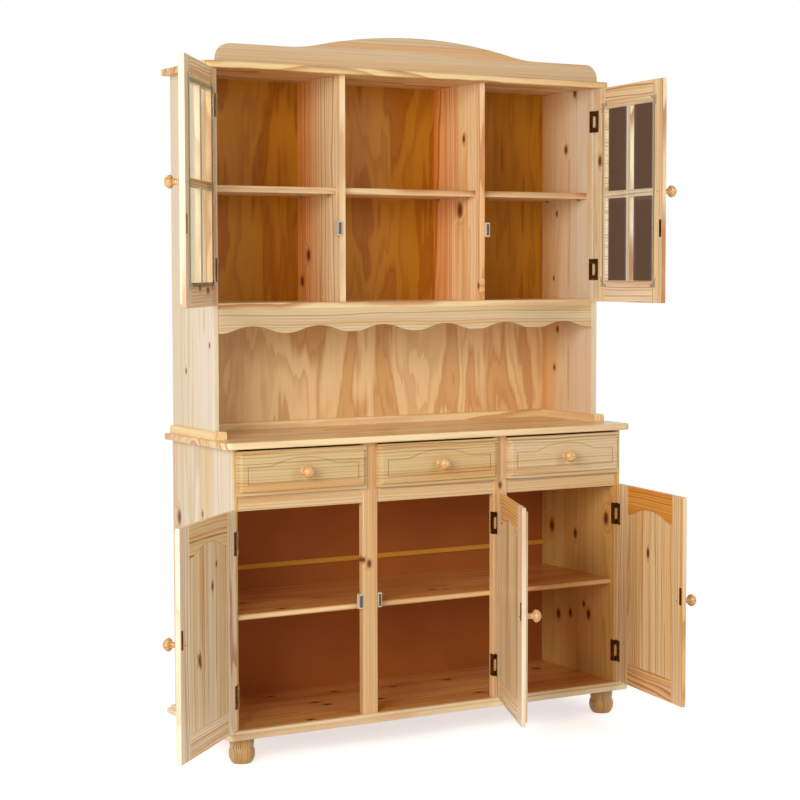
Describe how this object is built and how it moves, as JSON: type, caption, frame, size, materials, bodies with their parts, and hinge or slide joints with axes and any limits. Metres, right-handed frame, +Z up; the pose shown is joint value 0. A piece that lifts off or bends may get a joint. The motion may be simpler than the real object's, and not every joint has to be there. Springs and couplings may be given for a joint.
{
  "type": "buffet hutch",
  "caption": "Pine buffet hutch: a cupboard base with drawers over panelled doors, and a shelved hutch with glazed doors, a scalloped valance and an arched crest.",
  "frame": {"origin": "on the floor, in the middle of the footprint of the base cupboard, between its feet", "axes": "+X to the right as one faces the furniture, +Y back towards the wall, +Z up"},
  "size_m": [1.6297, 0.8037, 2.0184],
  "materials": {
    "pine": "pale solid pine under a clear satin lacquer",
    "plywood": "amber pine-faced plywood, satin",
    "hardboard": "smooth dark brown hardboard",
    "antique_metal": "antique dark brass plating",
    "peg_steel": "zinc-plated steel",
    "catch_plastic": "cream plastic",
    "joint_plastic": "olive-brown plastic joining strip",
    "clear_plastic": "translucent moulded plastic",
    "glass": "clear float glass"
  },
  "bodies": {
    "carcass": {"back_joint_strip": "joint_plastic", "base_back_sheets": "hardboard", "base_shelf": "pine", "base_sides": "pine", "bottom_board": "pine", "bun_feet": "pine", "cornice_board": "pine", "counter_top": "pine", "crest_board": "pine", "door_catches": "catch_plastic", "drawer_rails": "pine", "drawer_runners": "pine", "front_posts": "pine", "hinge_frame_leaves": "antique_metal", "hinge_pins": "antique_metal", "hutch_back_panel": "plywood", "hutch_dividers": "pine", "hutch_floor_board": "pine", "hutch_runners": "pine", "hutch_shelves": "pine", "hutch_sides": "pine", "scalloped_valance": "pine", "shelf_pegs": "peg_steel"},
    "base_left_door": {"base_left_door_frame": "pine", "base_left_door_hardware": "antique_metal", "base_left_door_knob": "pine", "base_left_door_panel": "pine"},
    "base_middle_door": {"base_middle_door_frame": "pine", "base_middle_door_hardware": "antique_metal", "base_middle_door_knob": "pine", "base_middle_door_panel": "pine"},
    "base_right_door": {"base_right_door_frame": "pine", "base_right_door_hardware": "antique_metal", "base_right_door_knob": "pine", "base_right_door_panel": "pine"},
    "hutch_left_door": {"hutch_left_door_clips": "clear_plastic", "hutch_left_door_frame": "pine", "hutch_left_door_glass": "glass", "hutch_left_door_hardware": "antique_metal", "hutch_left_door_knob": "pine", "hutch_left_door_muntins": "pine"},
    "hutch_right_door": {"hutch_right_door_clips": "clear_plastic", "hutch_right_door_frame": "pine", "hutch_right_door_glass": "glass", "hutch_right_door_hardware": "antique_metal", "hutch_right_door_knob": "pine", "hutch_right_door_muntins": "pine"},
    "left_drawer": {"left_drawer_bottom": "plywood", "left_drawer_box": "pine", "left_drawer_front": "pine", "left_drawer_knob": "pine"},
    "middle_drawer": {"middle_drawer_bottom": "plywood", "middle_drawer_box": "pine", "middle_drawer_front": "pine", "middle_drawer_knob": "pine"},
    "right_drawer": {"right_drawer_bottom": "plywood", "right_drawer_box": "pine", "right_drawer_front": "pine", "right_drawer_knob": "pine"}
  },
  "joints": [
    {"name": "base_left_door_hinge", "type": "hinge", "parent": "carcass", "child": "base_left_door", "pos_m": [-0.6413, -0.2025, 0.101], "axis": [0, 0, -1], "range_deg": [-136, 4]},
    {"name": "base_middle_door_hinge", "type": "hinge", "parent": "carcass", "child": "base_middle_door", "pos_m": [0.20397, -0.2025, 0.101], "axis": [0, 0, 1], "range_deg": [-67, 48]},
    {"name": "base_right_door_hinge", "type": "hinge", "parent": "carcass", "child": "base_right_door", "pos_m": [0.6413, -0.2025, 0.101], "axis": [0, 0, 1], "range_deg": [-81, 59]},
    {"name": "hutch_left_door_hinge", "type": "hinge", "parent": "carcass", "child": "hutch_left_door", "pos_m": [-0.6388, -0.0845, 1.257], "axis": [0, 0, -1], "range_deg": [-126, 14]},
    {"name": "hutch_right_door_hinge", "type": "hinge", "parent": "carcass", "child": "hutch_right_door", "pos_m": [0.6388, -0.0845, 1.257], "axis": [0, 0, 1], "range_deg": [-83, 57]},
    {"name": "left_drawer_slide", "type": "slide", "parent": "carcass", "child": "left_drawer", "axis": [0, -1, 0], "range_m": [0, 0.28]},
    {"name": "middle_drawer_slide", "type": "slide", "parent": "carcass", "child": "middle_drawer", "axis": [0, -1, 0], "range_m": [0, 0.28]},
    {"name": "right_drawer_slide", "type": "slide", "parent": "carcass", "child": "right_drawer", "axis": [0, -1, 0], "range_m": [0, 0.28]}
  ]
}
